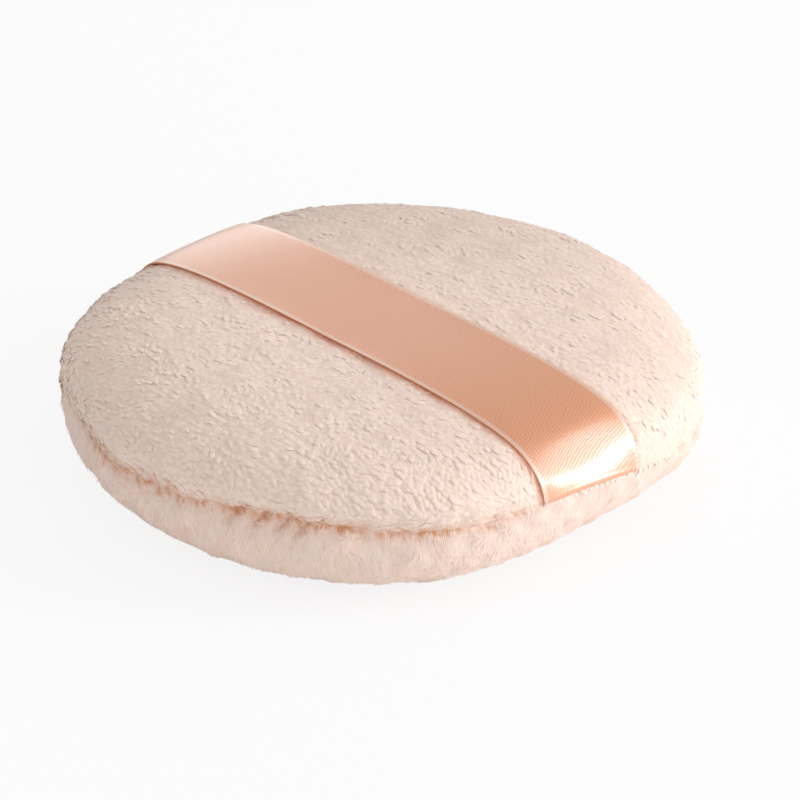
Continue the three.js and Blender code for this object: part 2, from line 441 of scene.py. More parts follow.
def makeGroup(name, inputs, outputs, treeKind="ShaderNodeTree"):
    group = bpy.data.node_groups.new(name, treeKind)
    for way, sockets in (("INPUT", inputs), ("OUTPUT", outputs)):
        for socketName, kind in sockets.items():
            group.interface.new_socket(socketName, in_out=way, socket_type="NodeSocket" + kind)
    return group


def useGroup(tree, group, sockets=None):
    return addNode(tree, "ShaderNodeGroup", sockets, node_tree=group).outputs[0]


def makeSeamPaintedShade():
    # lays the warm painted shade over a coat's own colour
    group = makeGroup("seamPaintedShade", {"Colour": "Color"}, {"Colour": "Color"})
    own = addNode(group, "NodeGroupInput").outputs["Colour"]
    withPaintedShade = mixColours(group, attribute(group, "paintedWarmShade"), own, (*coatShade["paintedWarmShade"], 1))
    addNode(group, "NodeGroupOutput", {"Colour": withPaintedShade})
    return group


def makePileShade():
    # a tint for each tuft, which also carries the velour's painted shade at the back, slow patches and a fine
    # speckle
    group = makeGroup("pileShade", {}, {"Shade": "Float"})
    coords = objectCoords(group)
    patch = noise(group, coords, coatShade["patchScale"], Detail=3)
    speckle = noise(group, coords, coatShade["speckleScale"])
    shade = maths(group, "MULTIPLY_ADD", attribute(group, "tint"), coatShade["tint"], coatShade["base"])
    shade = maths(group, "MULTIPLY_ADD", patch, coatShade["patch"], shade)
    shade = maths(group, "MULTIPLY_ADD", speckle, coatShade["speckle"], shade)
    addNode(group, "NodeGroupOutput", {"Shade": shade})
    return group


seamPaintedShade = makeSeamPaintedShade()
pileShade = makePileShade()


def pileMaterial(name, look):
    # colour runs from the root of a tuft, darkened as painted shade, to its paler tip
    material, tree, shader = newMaterial(name, {
        "Roughness": 0.95, "Specular IOR Level": 0.05, "Sheen Weight": look["sheen"], "Sheen Roughness": 0.45,
        "Sheen Tint": (1.0, 0.93, 0.88, 1)})
    stops = ((0.0, look["root"]), (0.42, look["middle"]), (0.95, look["tip"]))
    own = ramp(tree, attribute(tree, "along"), *stops)
    # painted warm shade by the seam and, on the velour, beside the ribbon's edges
    withPaintedShade = useGroup(tree, seamPaintedShade, {"Colour": own})
    colour = mixColours(tree, 1, withPaintedShade, useGroup(tree, pileShade), "MULTIPLY")
    fillSockets(tree, shader, {"Base Color": colour})
    if look["thin"]:
        # a flat strand seen from below shows the light that comes through it
        through = addNode(tree, "ShaderNodeBsdfTranslucent", {"Color": colour}).outputs[0]
        fromBelow = addNode(tree, "ShaderNodeNewGeometry").outputs["Backfacing"]
        setSurface(tree, mixShaders(tree, fromBelow, shader.outputs[0], through))
    return material


def groundMaterial(name, colour):
    # knitted ground of the cloth, seen only between the tufts
    material, tree, shader = newMaterial(name, {"Roughness": 0.95, "Specular IOR Level": 0.1})
    knit = noise(tree, objectCoords(tree), 1400)
    shade = ramp(tree, knit, (0.3, tuple(c * 0.92 for c in colour)), (0.7, colour))
    # painted shade: warm by the seam and, on the velour, darker towards the back through the nap attribute
    withPaintedShade = useGroup(tree, seamPaintedShade, {"Colour": shade})
    fillSockets(tree, shader, {
        "Base Color": mixColours(tree, attribute(tree, "nap"), withPaintedShade, (0, 0, 0, 1)),
        "Normal": bumped(tree, knit, 0.8, 0.16)})
    return material


def brushedMaterial(name, colour, shadow):
    # dense brushed fibres: noise drawn out along the nap, swept aside in slow waves
    material, tree, shader = newMaterial(name, {
        "Roughness": 0.95, "Specular IOR Level": 0.1, "Sheen Weight": 0.3, "Sheen Roughness": 0.45})
    uv = addNode(tree, "ShaderNodeUVMap", uv_map="coat").outputs["UV"]
    sweep = addNode(tree, "ShaderNodeTexNoise", {"Vector": uv, "Scale": 260}).outputs["Color"]
    aside = addNode(tree, "ShaderNodeVectorMath", {0: sweep, 1: (2.2 * mm, 0, 0), 2: uv},
                    operation="MULTIPLY_ADD")
    drawn = addNode(tree, "ShaderNodeMapping", {
        "Vector": aside.outputs[0], "Scale": (1 / (0.22 * mm), 1 / (1.6 * mm), 1)})
    fibre = noise(tree, drawn.outputs[0], 1, Detail=3)
    shade = ramp(tree, fibre, (0.25, shadow), (0.6, colour))
    # painted warm shade by the seam
    fillSockets(tree, shader, {
        "Base Color": useGroup(tree, seamPaintedShade, {"Colour": shade}), "Normal": bumped(tree, fibre, 0.7, 0.16)})
    return material


def mottledMaterial(name, pattern, output, scale, roughness, *stops):
    # two colours in a pattern on Object coordinates
    material, tree, shader = newMaterial(name, {"Roughness": roughness})
    mottle = addNode(tree, pattern, {"Vector": objectCoords(tree), "Scale": scale}).outputs[output]
    fillSockets(tree, shader, {"Base Color": ramp(tree, mottle, *stops)})
    return material


# Geometry Nodes tree that grows one tuft on every root

def growTree():
    tree = makeGroup("growPile", {
        "Geometry": "Geometry", "Tuft": "Object", "Wobble": "Float", "Spin": "Float", "Smallest": "Float",
        "Largest": "Float", "Map cell": "Float", "Seed": "Int", "Material": "Material",
    }, {"Geometry": "Geometry"}, "GeometryNodeTree")
    given = addNode(tree, "NodeGroupInput").outputs

    def named(name, kind="FLOAT_VECTOR"):
        node = addNode(tree, "GeometryNodeInputNamedAttribute", {"Name": name}, data_type=kind)
        return node.outputs["Attribute"]

    # a tuft stands on the cloth, is combed along the nap and sways a little
    stand = addNode(tree, "FunctionNodeAlignRotationToVector", {"Vector": named("pileNormal")}, axis="Z")
    comb = addNode(tree, "FunctionNodeAlignRotationToVector", {
        "Rotation": stand.outputs[0], "Vector": named("pileNap")}, axis="X", pivot_axis="Z")
    high = addNode(tree, "ShaderNodeCombineXYZ", {
        "X": given["Wobble"], "Y": given["Wobble"], "Z": given["Spin"]}).outputs[0]
    low = addNode(tree, "ShaderNodeVectorMath", {0: high, "Scale": -1}, operation="SCALE").outputs[0]
    sway = addNode(tree, "FunctionNodeRandomValue", {
        "Min": low, "Max": high, "Seed": given["Seed"]}, data_type="FLOAT_VECTOR")
    euler = addNode(tree, "FunctionNodeEulerToRotation", {0: sway.outputs[0]})
    turn = addNode(tree, "FunctionNodeRotateRotation", {
        "Rotation": comb.outputs[0], "Rotate By": euler.outputs[0]}, rotation_space="LOCAL")
    size = addNode(tree, "FunctionNodeRandomValue", {
        2: given["Smallest"], 3: given["Largest"], "Seed": given["Seed"]}, data_type="FLOAT")
    tuft = addNode(tree, "GeometryNodeObjectInfo", {"Object": given["Tuft"]}, transform_space="ORIGINAL")
    place = addNode(tree, "GeometryNodeInstanceOnPoints", {
        "Points": given["Geometry"], "Instance": tuft.outputs["Geometry"], "Rotation": turn.outputs[0],
        "Scale": maths(tree, "MULTIPLY", size.outputs[1], named("pileSize", "FLOAT"))})
    real = addNode(tree, "GeometryNodeRealizeInstances", {0: place.outputs[0]})

    # each tuft has a cell of its own on the map
    cell = addNode(tree, "ShaderNodeVectorMath", {
        0: named("tuftMap"), "Scale": given["Map cell"]}, operation="SCALE")
    where = addNode(tree, "ShaderNodeVectorMath", {0: named("rootPlan"), 1: cell.outputs[0]}, operation="ADD")
    keep = addNode(tree, "GeometryNodeStoreNamedAttribute", {
        "Geometry": real.outputs[0], "Name": "OFBake", "Value": where.outputs[0]},
        data_type="FLOAT2", domain="CORNER")
    paint = addNode(tree, "GeometryNodeSetMaterial", {
        "Geometry": keep.outputs[0], "Material": given["Material"]})
    addNode(tree, "NodeGroupOutput", {0: paint.outputs[0]})
    return tree


growPile = growTree()


def softenNormals(mesh):
    # pile shades mostly like the cloth that it stands on, with a share of each tuft's own relief
    count = len(mesh.vertices)
    own, cloth, relief = (np.zeros((count, width), np.float32) for width in (3, 3, 1))
    mesh.vertex_normals.foreach_get("vector", own.ravel())
    mesh.attributes["pileNormal"].data.foreach_get("vector", cloth.ravel())
    mesh.attributes["pileRelief"].data.foreach_get("value", relief.ravel())
    soft = (1 - relief) * smoothStep(-0.9, 0.05, (own * cloth).sum(1, keepdims=True))
    mixed = own * (1 - soft) + cloth * soft
    mixed = mixed / np.maximum(np.linalg.norm(mixed, axis=1, keepdims=True), 1e-6)
    mesh.normals_split_custom_set_from_vertices(mixed)


def growPiece(name, roots, tuft, mapCell, material, look):
    # runs the tree, keeps its result as a plain mesh and drops the roots and the tuft
    values = {"Tuft": tuft, "Map cell": mapCell, "Material": material, **look["grow"]}
    modifier = roots.modifiers.new("grow", "NODES")
    modifier.node_group = growPile
    for item in growPile.interface.items_tree:
        if item.in_out == "INPUT" and item.name in values:
            modifier[item.identifier] = values[item.name]
    depsgraph = bpy.context.evaluated_depsgraph_get()
    depsgraph.update()
    mesh = bpy.data.meshes.new_from_object(roots.evaluated_get(depsgraph), preserve_all_data_layers=True,
                                           depsgraph=depsgraph)
    roots.modifiers.remove(modifier)
    bpy.data.objects.remove(roots)
    mesh.name = name
    softenNormals(mesh)
    for extra in ("pileNormal", "pileNap", "pileSize", "pileRelief", "rootPlan", "tuftMap"):
        if extra in mesh.attributes:
            mesh.attributes.remove(mesh.attributes[extra])
    tuftMesh = tuft.data
    bpy.data.objects.remove(tuft)
    bpy.data.meshes.remove(tuftMesh)
    return newObject(name, mesh)


def leanLine(look):
    # rings of a lock that leaves its root along +Z and leans over to +X: share of the length, lean, x and z
    share = np.linspace(0, 1, look["rings"] + 1)
    lean = np.radians(look["leanRoot"] + (look["leanTip"] - look["leanRoot"]) * share ** 0.8)
    step = look["length"] / look["rings"]
    halfway = (lean[1:] + lean[:-1]) / 2
    axisX, axisZ = (np.append(0, np.cumsum(way(halfway) * step)) for way in (np.sin, np.cos))
    return share, lean, axisX, axisZ


def lockObject(name, corners, faces, along, tuftMap):
    mesh = meshFrom(name, corners, faces)
    putAttribute(mesh, "along", along)
    putAttribute(mesh, "tuftMap", [(u - 0.5, v - 0.5, 0) for u, v in tuftMap], "CORNER")
    return newObject(name, mesh)


def tuftObject(name, look):
    # a rounded lock of pile, ridged like a few fibres
    sides, rings, belly = look["sides"], look["rings"], look["belly"]
    share, lean, axisX, axisZ = leanLine(look)
    corners = []
    for i in range(rings):
        grow = look["rootShare"] + (1 - look["rootShare"]) * math.sin(math.pi / 2 * min(1, share[i] / belly))
        taper = 1 if share[i] < belly else math.cos(math.pi / 2 * (share[i] - belly) / (1.12 - belly))
        for k in range(sides):
            turn = 2 * math.pi * k / sides
            full = grow * taper * (1 - look["ridge"] * (k % 2)) / 2
            thick = look["thickness"] * full * math.cos(turn)
            corners.append((axisX[i] + thick * math.cos(lean[i]), look["width"] * full * math.sin(turn),
                            axisZ[i] - thick * math.sin(lean[i])))
    corners.append((axisX[-1], 0, axisZ[-1]))
    faces, tuftMap = [], []
    for i in range(rings):
        for k in range(sides):
            here, there = i * sides + k, i * sides + (k + 1) % sides
            left, right = k / sides, (k + 1) / sides
            tuftMap += [(left, share[i]), (right, share[i])]
            if i < rings - 1:
                faces.append((here, there, there + sides, here + sides))
                tuftMap += [(right, share[i + 1]), (left, share[i + 1])]
            else:
                faces.append((here, there, rings * sides))
                tuftMap.append(((k + 0.5) / sides, 1))
    return lockObject(name, corners, faces, np.append(np.repeat(share[:rings], sides), 1.0), tuftMap)


def strandObject(name, look):
    # a flat strand of a few fibres
    rings = look["rings"]
    share, _, axisX, axisZ = leanLine(look)
    half = look["width"] / 2 * np.cos(share[:-1] * math.pi / 2 / 1.15)
    corners = [(axisX[i], sign * half[i], axisZ[i]) for i in range(rings) for sign in (-1, 1)]
    corners.append((axisX[-1], 0, axisZ[-1]))
    faces = [(2 * i, 2 * i + 2, 2 * i + 3, 2 * i + 1) for i in range(rings - 1)]
    faces.append((2 * rings - 2, 2 * rings, 2 * rings - 1))
    along = np.append(np.repeat(share[:rings], 2), 1.0)
    across = np.append(np.tile([0.0, 1.0], rings), 0.5)
    tuftMap = [(across[corner], along[corner]) for face in faces for corner in face]
    return lockObject(name, corners, faces, along, tuftMap)


def mapPlan(flat, width):
    # where the roots lie on a map that is this wide
    return np.pad(0.5 + flat / width, ((0, 0), (0, 1)))


def rootsObject(name, places, *values):
    mesh = bpy.data.meshes.new(name)
    mesh.from_pydata((places * mm).tolist(), [], [])
    fields = ("pileNormal", "pileNap", "pileSize", "pileRelief", "tint", "paintedWarmShade", "rootPlan")
    for field, value in zip(fields, values):
        putAttribute(mesh, field, value)
    return newObject(name, mesh)


def spreadRoots(wall, look, outward):
    # tuft places on the flat disc of cloth, in staggered rows along X, and where they come to lie on the pad
    rng = np.random.default_rng(look["seed"])
    reach, pitch, rowPitch = wallLengths(wall)[-1], look["alongPitch"], look["rowPitch"]
    places = []
    for row in range(-math.floor(reach / rowPitch), math.floor(reach / rowPitch) + 1):
        columns = np.arange(-reach, reach, pitch) + (row % 2) * pitch / 2
        places.append(np.stack([columns, np.full(len(columns), row * rowPitch)], -1))
    flat = np.concatenate(places)
    flat = flat + rng.uniform(-look["jitter"], look["jitter"], flat.shape)
    flat = flat[np.hypot(flat[:, 0], flat[:, 1]) < reach]
    along, turn = np.hypot(*flat.T), np.arctan2(flat[:, 1], flat[:, 0])
    place, normal, toSeam = wallFrame(wall, along, turn, outward)
    place = place + normal * softLumps(place, look)[:, None]
    return flat, along, turn, reach, place, normal, toSeam, rng


def paintedShadeMask(places, fromSeam, above):
    # painted shade: spots of warm colour along the crease, in the pits below it and in the fold above it
    turn = np.arctan2(places[:, 1], places[:, 0])
    spots = smoothStep(-0.2, 0.7, slowNoise(places, 1.9, 31) + 0.8 * slowNoise(places, 0.8, 32))
    crease = bell(fromSeam, 1.0) * (0.25 + 0.75 * spots) * openCrease(turn)
    extra = foldShare(turn, fromSeam) * (0.3 + 0.7 * spots) if above else 0.45 * slitShare(turn, -fromSeam)
    paintedWarmShade = np.clip(crease + extra, 0, 1)
    if not above:
        return paintedWarmShade
    # painted light: warm colour beside the ribbon's edges for the light that comes through them
    byEdge = np.abs(places[:, 1] - pad["ribbonMiddle"]) - pad["ribbonHalf"]
    return np.maximum(paintedWarmShade, 0.35 * bell(byEdge - 0.2, 0.5))


def backingBody(name, look, wall, inner, hemFace, hemInner):
    # closed shell of the backing, with its hem
    inner = thinned(inner[:-30], 40)
    profile = np.concatenate([thinned(wall, 120), [[hemEdge, hemFace], [hemEdge, hemInner]], inner[::-1]])
    if profile[0][1] < profile[-1][1]:
        profile = profile[::-1]
    mesh = turnedMesh(name, profile, look["steps"])
    count = len(mesh.vertices)
    corners, normals = np.zeros(count * 3), np.zeros(count * 3)
    mesh.vertices.foreach_get("co", corners)
    mesh.vertex_normals.foreach_get("vector", normals)
    corners, normals = corners.reshape(-1, 3) / mm, normals.reshape(-1, 3)
    corners = corners + normals * softLumps(corners, look)[:, None]
    mesh.vertices.foreach_set("co", (corners * mm).ravel())
    mesh.update()
    # painted warm shade by the seam and the ribbon's edges
    seamZ = drawIn(np.stack([corners[:, 0], corners[:, 1], np.full(count, pad["seamHeight"])], -1))[:, 2]
    putAttribute(mesh, "paintedWarmShade", paintedShadeMask(corners, np.abs(corners[:, 2] - seamZ), look is velour))
    # painted shade: the velour's ground is darker towards the back
    if look is velour:
        putAttribute(mesh, "nap", coatShade["tint"] * velour["backPaintedShade"] * backShare(corners))
    return newObject(name, mesh)


# Camera

camera = {
    "azimuth": 45.0,
    "elevation": 29.35,
    "roll": 1.36,
    "distance": 445.0,
    "pixelsPerMm": 7.94,    # at the pad's middle
    "seenAt": (383.2, 382.4),  # pixel where the middle of the pad appears
    "aimHeight": 10.0,
    "picture": 800,
    "sensor": 36,
    "clipStart": 0.01,
}


def towards(turn, lift):
    # direction from the pad for a turn round it and a lift above the floor, in degrees
    turn, lift = math.radians(turn), math.radians(lift)
    return Vector((math.sin(turn) * math.cos(lift), -math.cos(turn) * math.cos(lift), math.sin(lift)))


def makeCamera():
    back = towards(camera["azimuth"], camera["elevation"])
    right = towards(camera["azimuth"] + 90, 0)
    up = back.cross(right)
    tilt = math.radians(camera["roll"])
    right, up = (right * math.cos(tilt) + up * math.sin(tilt), up * math.cos(tilt) - right * math.sin(tilt))
    offRight, offDown = ((camera["picture"] / 2 - at) / camera["pixelsPerMm"] for at in camera["seenAt"])
    aim = Vector((0, 0, camera["aimHeight"])) + right * offRight - up * offDown
    data = bpy.data.cameras.new("photoCamera")
    data.sensor_fit = "HORIZONTAL"
    data.sensor_width = camera["sensor"]
    data.lens = camera["pixelsPerMm"] * camera["distance"] * camera["sensor"] / camera["picture"]
    data.clip_start = camera["clipStart"]
    thing = newObject("photoCamera", data)
    axes = Matrix((right, up, back)).transposed()
    thing.matrix_world = Matrix.Translation((aim + back * camera["distance"]) * mm) @ axes.to_4x4()
    bpy.context.scene.camera = thing


makeCamera()
print("camera set")


# Velour cover

velour = {
    "backing": 0.2,         # depth of the backing under the pile's tips
    "thick": 1.4,
    "steps": 420,           # round the backing
    "relief": 0.14,         # share of each tuft's own shading
    "frontRelief": 0.16,    # and more of it on the front shoulder
    "sunk": 0.11,           # the roots start this far inside the backing
    "sunkRim": 0.095,       # and less far at the shoulder, where the pile opens
    "opensFrom": 24.0,
    "opensTo": 36.0,
    "flatTurn": 40.0,       # the pile lies flat round this turn
    "flatSpread": 42.0,
    "flatSunk": 0.05,
    "lump": 0.1,            # slow unevenness
    "lumpSize": 7.0,
    "alongPitch": 0.68,     # tufts along a row, rows lie along the ribbon
    "rowPitch": 0.55,
    "jitter": 0.09,
    "seed": 11,
    "frontTurn": 312.0,     # the tufts stand out most on the shoulder round this turn
    "frontSpread": 45.0,
    "calmSunk": 0.035,      # and less elsewhere
    "backFull": 30.0,       # behind the middle the pile gets painted shade and sinks deeper, fully from here on
    "backSunk": 0.05,
    # painted shade: how much darker the tufts and the ground are at the back
    "backPaintedShade": 1.3,
    "rib": 0.12,            # pairs of rows stand out as ribs on the shoulder beside the ribbon's far end
    "ribFrom": 208.0,
    "ribTo": 298.0,
    "crushed": 2.6,         # the stitching crushes the pile this far from the seam
    "crushedSize": 0.8,
    "size": 1.18,
    "underRibbon": 0.8,     # size of the tufts that the ribbon presses down
    "bare": 0.5,            # no tufts this near the seam
    "grow": {"Wobble": 0.12, "Spin": 0.4, "Smallest": 0.82, "Largest": 1.18, "Seed": 5},
    # the root is darker as painted shade deep in the pile
    "root": srgb(242, 212, 195),
    "middle": srgb(245, 222, 209),
    "tip": srgb(247, 228, 216),
    "ground": srgb(244, 220, 206),
    "sheen": 0.1,
    "thin": False,
}

velourTuft = {
    "length": 1.12, "width": 0.62, "thickness": 0.23, "leanRoot": 77, "leanTip": 103,
    "sides": 6, "rings": 3, "ridge": 0.1, "rootShare": 0.6, "belly": 0.55,
}

mapSpread = 2.1  # a coat's map is this many times its reach wide


def backShare(places):
    # 0 in front of the middle, 1 at the back, along the line from the front to the back
    return smoothStep(0, velour["backFull"], (places[:, 1] - places[:, 0]) / math.sqrt(2))


def makeVelour(ribbonMiddle, ribbonWidth):
    wall = crownWall(velour["backing"])
    flat, along, turn, reach, place, normal, _, rng = spreadRoots(wall, velour, 1)
    opened = smoothStep(velour["opensFrom"], velour["opensTo"], np.hypot(place[:, 0], place[:, 1]))
    degrees = np.degrees(turn) % 360
    ribTurn = math.pi / velour["rowPitch"]
    ribs = velour["rib"] * ribTurn * np.sin(flat[:, 1] * ribTurn + 0.5 * slowNoise(flat, 9, 6))
    ribs = ribs * opened * between(degrees, velour["ribFrom"], velour["ribTo"], 18, 26)
    normal = unit(normal + np.array([0.0, 1.0, 0.0]) * ribs[:, None])
    nap = np.tile([1.0, 0.0, 0.0], (len(flat), 1))
    nap[:, 1] += slowNoise(flat, 14, 3) * 0.5
    fromSeam = reach - along
    size = velour["crushedSize"] + (1 - velour["crushedSize"]) * smoothStep(0, velour["crushed"], fromSeam)
    size = size * (velour["size"] + 0.03 * slowNoise(flat, 6, 4))
    size[np.abs(place[:, 1] - ribbonMiddle) < ribbonWidth / 2 + 0.2] *= velour["underRibbon"]
    back = backShare(place)
    tint = np.clip(rng.normal(0.5, 0.16, len(flat)) + 0.2 * slowNoise(flat, 9, 5), 0, 1)
    # painted shade: tufts darker towards the back
    tint = tint - velour["backPaintedShade"] * back
    front = opened * turnBell(degrees, velour["frontTurn"], velour["frontSpread"])
    pressed = velour["flatSunk"] * turnBell(degrees, velour["flatTurn"], velour["flatSpread"])
    sunk = velour["sunk"] + (velour["sunkRim"] - velour["sunk"] + pressed) * opened
    sunk = sunk + velour["backSunk"] * back + velour["calmSunk"] * (1 - front)
    relief = velour["relief"] + velour["frontRelief"] * front
    keep = (fromSeam > velour["bare"]) & (foldShare(turn, fromSeam) < 0.5)
    # the roots carry the painted warm shade of the seam and the ribbon's edges
    roots = rootsObject("velourRoots", *(v[keep] for v in (
        place - normal * sunk[:, None], normal, nap, size, relief, tint, paintedShadeMask(place, fromSeam, True),
        mapPlan(flat, mapSpread * reach))))
    pile = growPiece("velour_pile", roots, tuftObject("velourTuft", velourTuft), 0.6 / (mapSpread * reach),
                     pileMaterial("velour pile", velour), velour)
    inner = crownWall(velour["backing"] + velour["thick"])
    cover = backingBody("velour_cover", velour, wall, inner, upperHem, upperHem + pad["hem"])
    cover.data.materials.append(groundMaterial("velour ground", velour["ground"]))
    return pile, cover


# Plush cover

plush = {
    "backing": 0.25,
    "thick": 1.8,
    "steps": 480,
    "relief": 0.13,
    "sunk": 0.05,
    "lump": 0.2,
    "lumpSize": 4.5,
    "alongPitch": 0.4,
    "rowPitch": 0.4,
    "jitter": 0.18,
    "seed": 23,
    "crushed": 3.0,
    "crushedSize": 0.4,
    "flattened": 0.35,      # loss of size where the puff lies on it
    "bare": 0.7,
    "grow": {"Wobble": 0.07, "Spin": 0.35, "Smallest": 0.75, "Largest": 1.2, "Seed": 9},
    # the root is darker as painted shade deep in the pile
    "root": srgb(242, 214, 199),
    "middle": srgb(245, 223, 211),
    "tip": srgb(247, 229, 219),
    "ground": srgb(244, 224, 213),
    "groundShadow": srgb(234, 202, 184),
    "sheen": 0.15,
    "thin": True,
}

plushLock = {
    "length": 1.5, "width": 0.2, "leanRoot": 80, "leanTip": 95, "rings": 3,
}


def makePlush():
    wall = plushWall(plush["backing"])
    flat, along, _, reach, place, normal, toSeam, rng = spreadRoots(wall, plush, -1)
    curl = slowNoise(place, 5, 8) * 0.7 + slowNoise(place, 2.4, 9) * 0.35
    fromSeam = reach - along
    hangs = smoothStep(0.8, 2.6, fromSeam + 0.8 * slowNoise(place, 2.2, 13))
    nap = toSeam * (0.6 - 1.6 * hangs)[:, None] + np.cross(normal, toSeam) * curl[:, None]
    size = plush["crushedSize"] + (1 - plush["crushedSize"]) * smoothStep(0.3, plush["crushed"], fromSeam)
    size = size * (1 + 0.16 * slowNoise(place, 4, 10))
    size = size * (1 - plush["flattened"] * smoothStep(pad["rest"] + 4, pad["rest"] - 1, along))
    tint = np.clip(rng.normal(0.5, 0.2, len(flat)) + 0.25 * slowNoise(place, 5, 12), 0, 1)
    # painted warm shade in the crease and the pits
    plushPaintedShade = 0.8 * paintedShadeMask(place, fromSeam * 1.3, False)
    relief = np.full(len(flat), plush["relief"])
    keep = fromSeam > plush["bare"]
    roots = rootsObject("plushRoots", *(v[keep] for v in (
        place - normal * plush["sunk"], normal, nap, size, relief, tint, plushPaintedShade,
        mapPlan(flat, mapSpread * reach))))
    pile = growPiece("plush_pile", roots, strandObject("plushLock", plushLock), 0.45 / (mapSpread * reach),
                     pileMaterial("plush pile", plush), plush)
    inner = plushWall(plush["backing"] + plush["thick"])
    cover = backingBody("plush_cover", plush, wall, inner, lowerHem, lowerHem - pad["hem"])
    cover.data.materials.append(brushedMaterial("plush ground", plush["ground"], plush["groundShadow"]))
    return pile, cover


# Satin ribbon

ribbon = {
    "thickness": 0.18,
    "leanTop": 0.55,        # how far the pressed end lies back per mm of rise, above and at its foot
    "leanFoot": 0.4,
    "foldHeight": 0.4,
    "foldDepth": 0.3,       # where the end turns in at the seam
    "standOff": 0.14,       # from the pile's tips to the middle of the ribbon
    "tuckedIn": 3.5,        # length that shows no more between the hems
    "alongStep": 0.35,
    "acrossSteps": 44,
    "edgeLift": 0.05,       # the edges ripple by this where the ribbon lies free
    "ripple": 7.0,
    "freeFrom": 14.0,       # from the sewn end
    "heldTo": 6.0,
    # pitches of the weave, its slanting floats, the yarn's unevenness and the edge's loops
    "warp": 0.48,
    "weft": 0.56,
    "slide": 0.96,
    "yarn": 0.9,
    "loops": 0.45,
    "selvedgeWidth": 0.7,
    "colour": srgb(238, 165, 122),
    "shade": srgb(228, 153, 110),
    "selvedge": srgb(240, 212, 194),
    # duller back of the satin, and on its narrow sides a deeper orange as painted shade under the edges
    "back": srgb(224, 158, 116),
    "through": srgb(212, 160, 122),  # what one face lets through of the light
}


def ribbonLine():
    # middle line from the crown's middle out over the rim and into the groove, as (x, z), one step apart
    out = ribbon["standOff"]
    wall = crownWall(-out)
    crown = wall[wall[:, 1] >= upperBulge - 1e-6]
    fold = ribbon["foldDepth"]
    foldTop = pad["seamHeight"] + ribbon["foldHeight"]
    # the pressed end runs on straight and grows steeper, free of the groove
    height = np.linspace(upperBulge, foldTop, 12)
    lean = np.linspace(ribbon["leanTop"], ribbon["leanFoot"], 12)[:-1]
    run = np.concatenate([[0], np.cumsum(lean * -np.diff(height))])
    away = pad["rim"] + out - shoulderPress(upperBulge) + run + shoulderPress(height)
    straight = np.stack([away, height], -1)
    bend = quarterCurve(fold, -ribbon["foldHeight"], 2, 2, 16) + [straight[-1][0] - fold, foldTop]
    inside = [[seamRadius - ribbon["tuckedIn"], pad["seamHeight"]]]
    line = np.concatenate([crown, straight[1:], bend[1:], inside])
    return thinned(line, int(wallLengths(line)[-1] / ribbon["alongStep"]))


def makeRibbonHalf(name, side, middle, width):
    line = ribbonLine()
    lengths = wallLengths(line)
    across = np.linspace(-width / 2, width / 2, ribbon["acrossSteps"] + 1)
    rowsCount, columns = len(line), len(across)
    ahead = np.gradient(line, axis=0)
    ahead = ahead / np.linalg.norm(ahead, axis=1, keepdims=True)
    up = np.stack([-ahead[:, 1], ahead[:, 0]], -1)
    ripple = ribbon["edgeLift"] * np.sin(lengths / ribbon["ripple"])[:, None]
    ripple = ripple * (np.abs(across) / (width / 2)) ** 6
    free = smoothStep(lengths[-1] - ribbon["heldTo"], lengths[-1] - ribbon["freeFrom"], lengths)[:, None]
    y = np.repeat(across[None], rowsCount, 0) + middle
    skins = []
    for level in (0.5, -0.5):
        rows = line + up * level * ribbon["thickness"]
        x = np.repeat(rows[:, :1], columns, 1)
        z = np.repeat(rows[:, 1:], columns, 1) + ripple * free
        # the edges follow the round pad, and the weave stays straight along the cloth
        rounded = np.sqrt(x ** 2 - y ** 2 * smoothStep(6, 16, x))
        alongCloth = lengths[:, None] - x + rounded
        skins.append(drawIn(np.stack([rounded * side, y, z], -1).reshape(-1, 3)))

    # shiny face, back and the four narrow sides
    count = columns * rowsCount
    number = np.arange(count).reshape(rowsCount, columns)
    face = np.stack([number[:-1, :-1], number[1:, :-1], number[1:, 1:], number[:-1, 1:]], -1).reshape(-1, 4)
    sides = [np.stack([rim[1:], rim[:-1], rim[:-1] + count, rim[1:] + count], -1)
             for rim in (number[:, 0], number[-1, :], number[::-1, -1], number[0, ::-1])]
    faces = np.concatenate([face, face[:, ::-1] + count, *sides])
    if side < 0:
        faces = faces[:, ::-1]
    mesh = meshFrom(name, np.concatenate(skins), faces.tolist())
    order = np.arange(len(faces))
    mesh.polygons.foreach_set("use_smooth", order < 2 * len(face))
    mesh.polygons.foreach_set("material_index", np.where(order < len(face), 0, 1).astype(np.int32))
    loopEdge, loopCorner = np.zeros(len(mesh.loops), np.int32), np.zeros(len(mesh.loops), np.int32)
    mesh.loops.foreach_get("edge_index", loopEdge)
    mesh.loops.foreach_get("vertex_index", loopCorner)
    sharp = np.zeros(len(mesh.edges), bool)
    sharp[loopEdge[8 * len(face):]] = True
    mesh.edges.foreach_set("use_edge_sharp", sharp)
    flat = np.stack([alongCloth.ravel() * side, np.tile(across, rowsCount)], -1) * mm
    flat = np.concatenate([flat, flat])
    mesh.uv_layers.new(name="cloth").data.foreach_set("uv", flat[loopCorner].astype(np.float32).ravel())
    return newObject(name, mesh), lengths[-1]


